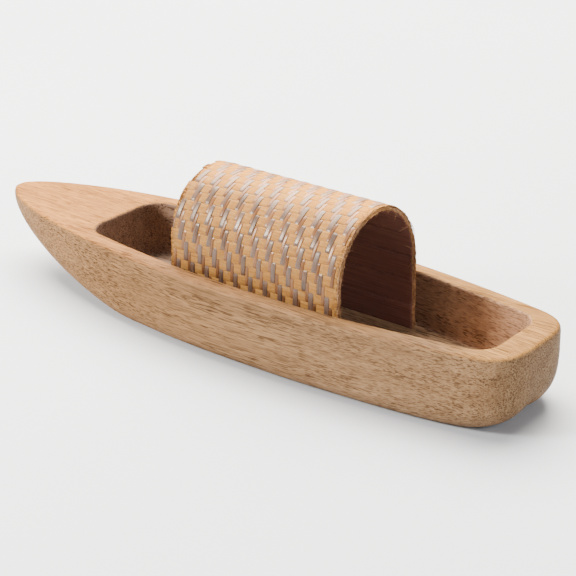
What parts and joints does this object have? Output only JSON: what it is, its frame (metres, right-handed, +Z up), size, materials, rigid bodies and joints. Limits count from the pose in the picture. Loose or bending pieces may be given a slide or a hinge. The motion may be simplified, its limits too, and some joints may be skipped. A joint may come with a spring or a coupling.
{
  "type": "incense burner",
  "caption": "Boat-shaped carved wooden incense burner with an open hull, a lift-off arched canopy of woven bamboo strips, and a small dish for incense on a heat mat.",
  "frame": {"origin": "centre of the hull's flat base, on the surface that the burner stands on", "axes": "+X along the hull towards the transom stern, bow towards -X, +Z up"},
  "size_m": [0.252, 0.0648, 0.0617],
  "materials": {
    "hull_wood": "sanded, oiled",
    "lining_bamboo": "stained, satin",
    "straw_bamboo": "dry split bamboo, matte",
    "grey_bamboo": "dyed bamboo skin, semi-gloss",
    "red_bamboo": "dyed bamboo skin, semi-gloss",
    "brass": "turned, lightly tarnished",
    "fibre_mat": "felted mineral fibre"
  },
  "bodies": {
    "hull": {"hull": "hull_wood", "heat_mat": "fibre_mat"},
    "canopy": {"lining_slat_01": "lining_bamboo", "lining_slat_02": "lining_bamboo", "lining_slat_03": "lining_bamboo", "lining_slat_04": "lining_bamboo", "lining_slat_05": "lining_bamboo", "lining_slat_06": "lining_bamboo", "lining_slat_07": "lining_bamboo", "lining_slat_08": "lining_bamboo", "lining_slat_09": "lining_bamboo", "lining_slat_10": "lining_bamboo", "lining_slat_11": "lining_bamboo", "lining_slat_12": "lining_bamboo", "lining_slat_13": "lining_bamboo", "lining_slat_14": "lining_bamboo", "straw_strip_01": "straw_bamboo", "straw_strip_02": "straw_bamboo", "straw_strip_03": "straw_bamboo", "straw_strip_04": "straw_bamboo", "straw_strip_05": "straw_bamboo", "straw_strip_06": "straw_bamboo", "straw_strip_07": "straw_bamboo", "straw_strip_08": "straw_bamboo", "straw_strip_09": "straw_bamboo", "straw_strip_10": "straw_bamboo", "straw_strip_11": "straw_bamboo", "straw_strip_12": "straw_bamboo", "straw_strip_13": "straw_bamboo", "straw_strip_14": "straw_bamboo", "straw_strip_15": "straw_bamboo", "straw_strip_16": "straw_bamboo", "straw_strip_17": "straw_bamboo", "straw_strip_18": "straw_bamboo", "straw_strip_19": "straw_bamboo", "straw_strip_20": "straw_bamboo", "straw_strip_21": "straw_bamboo", "straw_strip_22": "straw_bamboo", "straw_strip_23": "straw_bamboo", "straw_strip_24": "straw_bamboo", "straw_strip_25": "straw_bamboo", "straw_strip_26": "straw_bamboo", "straw_strip_27": "straw_bamboo", "straw_strip_28": "straw_bamboo", "straw_strip_29": "straw_bamboo", "straw_strip_30": "straw_bamboo", "straw_strip_31": "straw_bamboo", "straw_strip_32": "straw_bamboo", "straw_strip_33": "straw_bamboo", "straw_strip_34": "straw_bamboo", "straw_strip_35": "straw_bamboo", "grey_hoop_strips": "grey_bamboo", "red_hoop_strips": "red_bamboo"},
    "dish": {"incense_dish": "brass"}
  },
  "joints": [
    {"name": "canopy_lift", "type": "slide", "parent": "hull", "child": "canopy", "axis": [0, 0, 1], "range_m": [0, 0.06]},
    {"name": "dish_lift", "type": "slide", "parent": "hull", "child": "dish", "axis": [0, 0, 1], "range_m": [0, 0.024]}
  ]
}
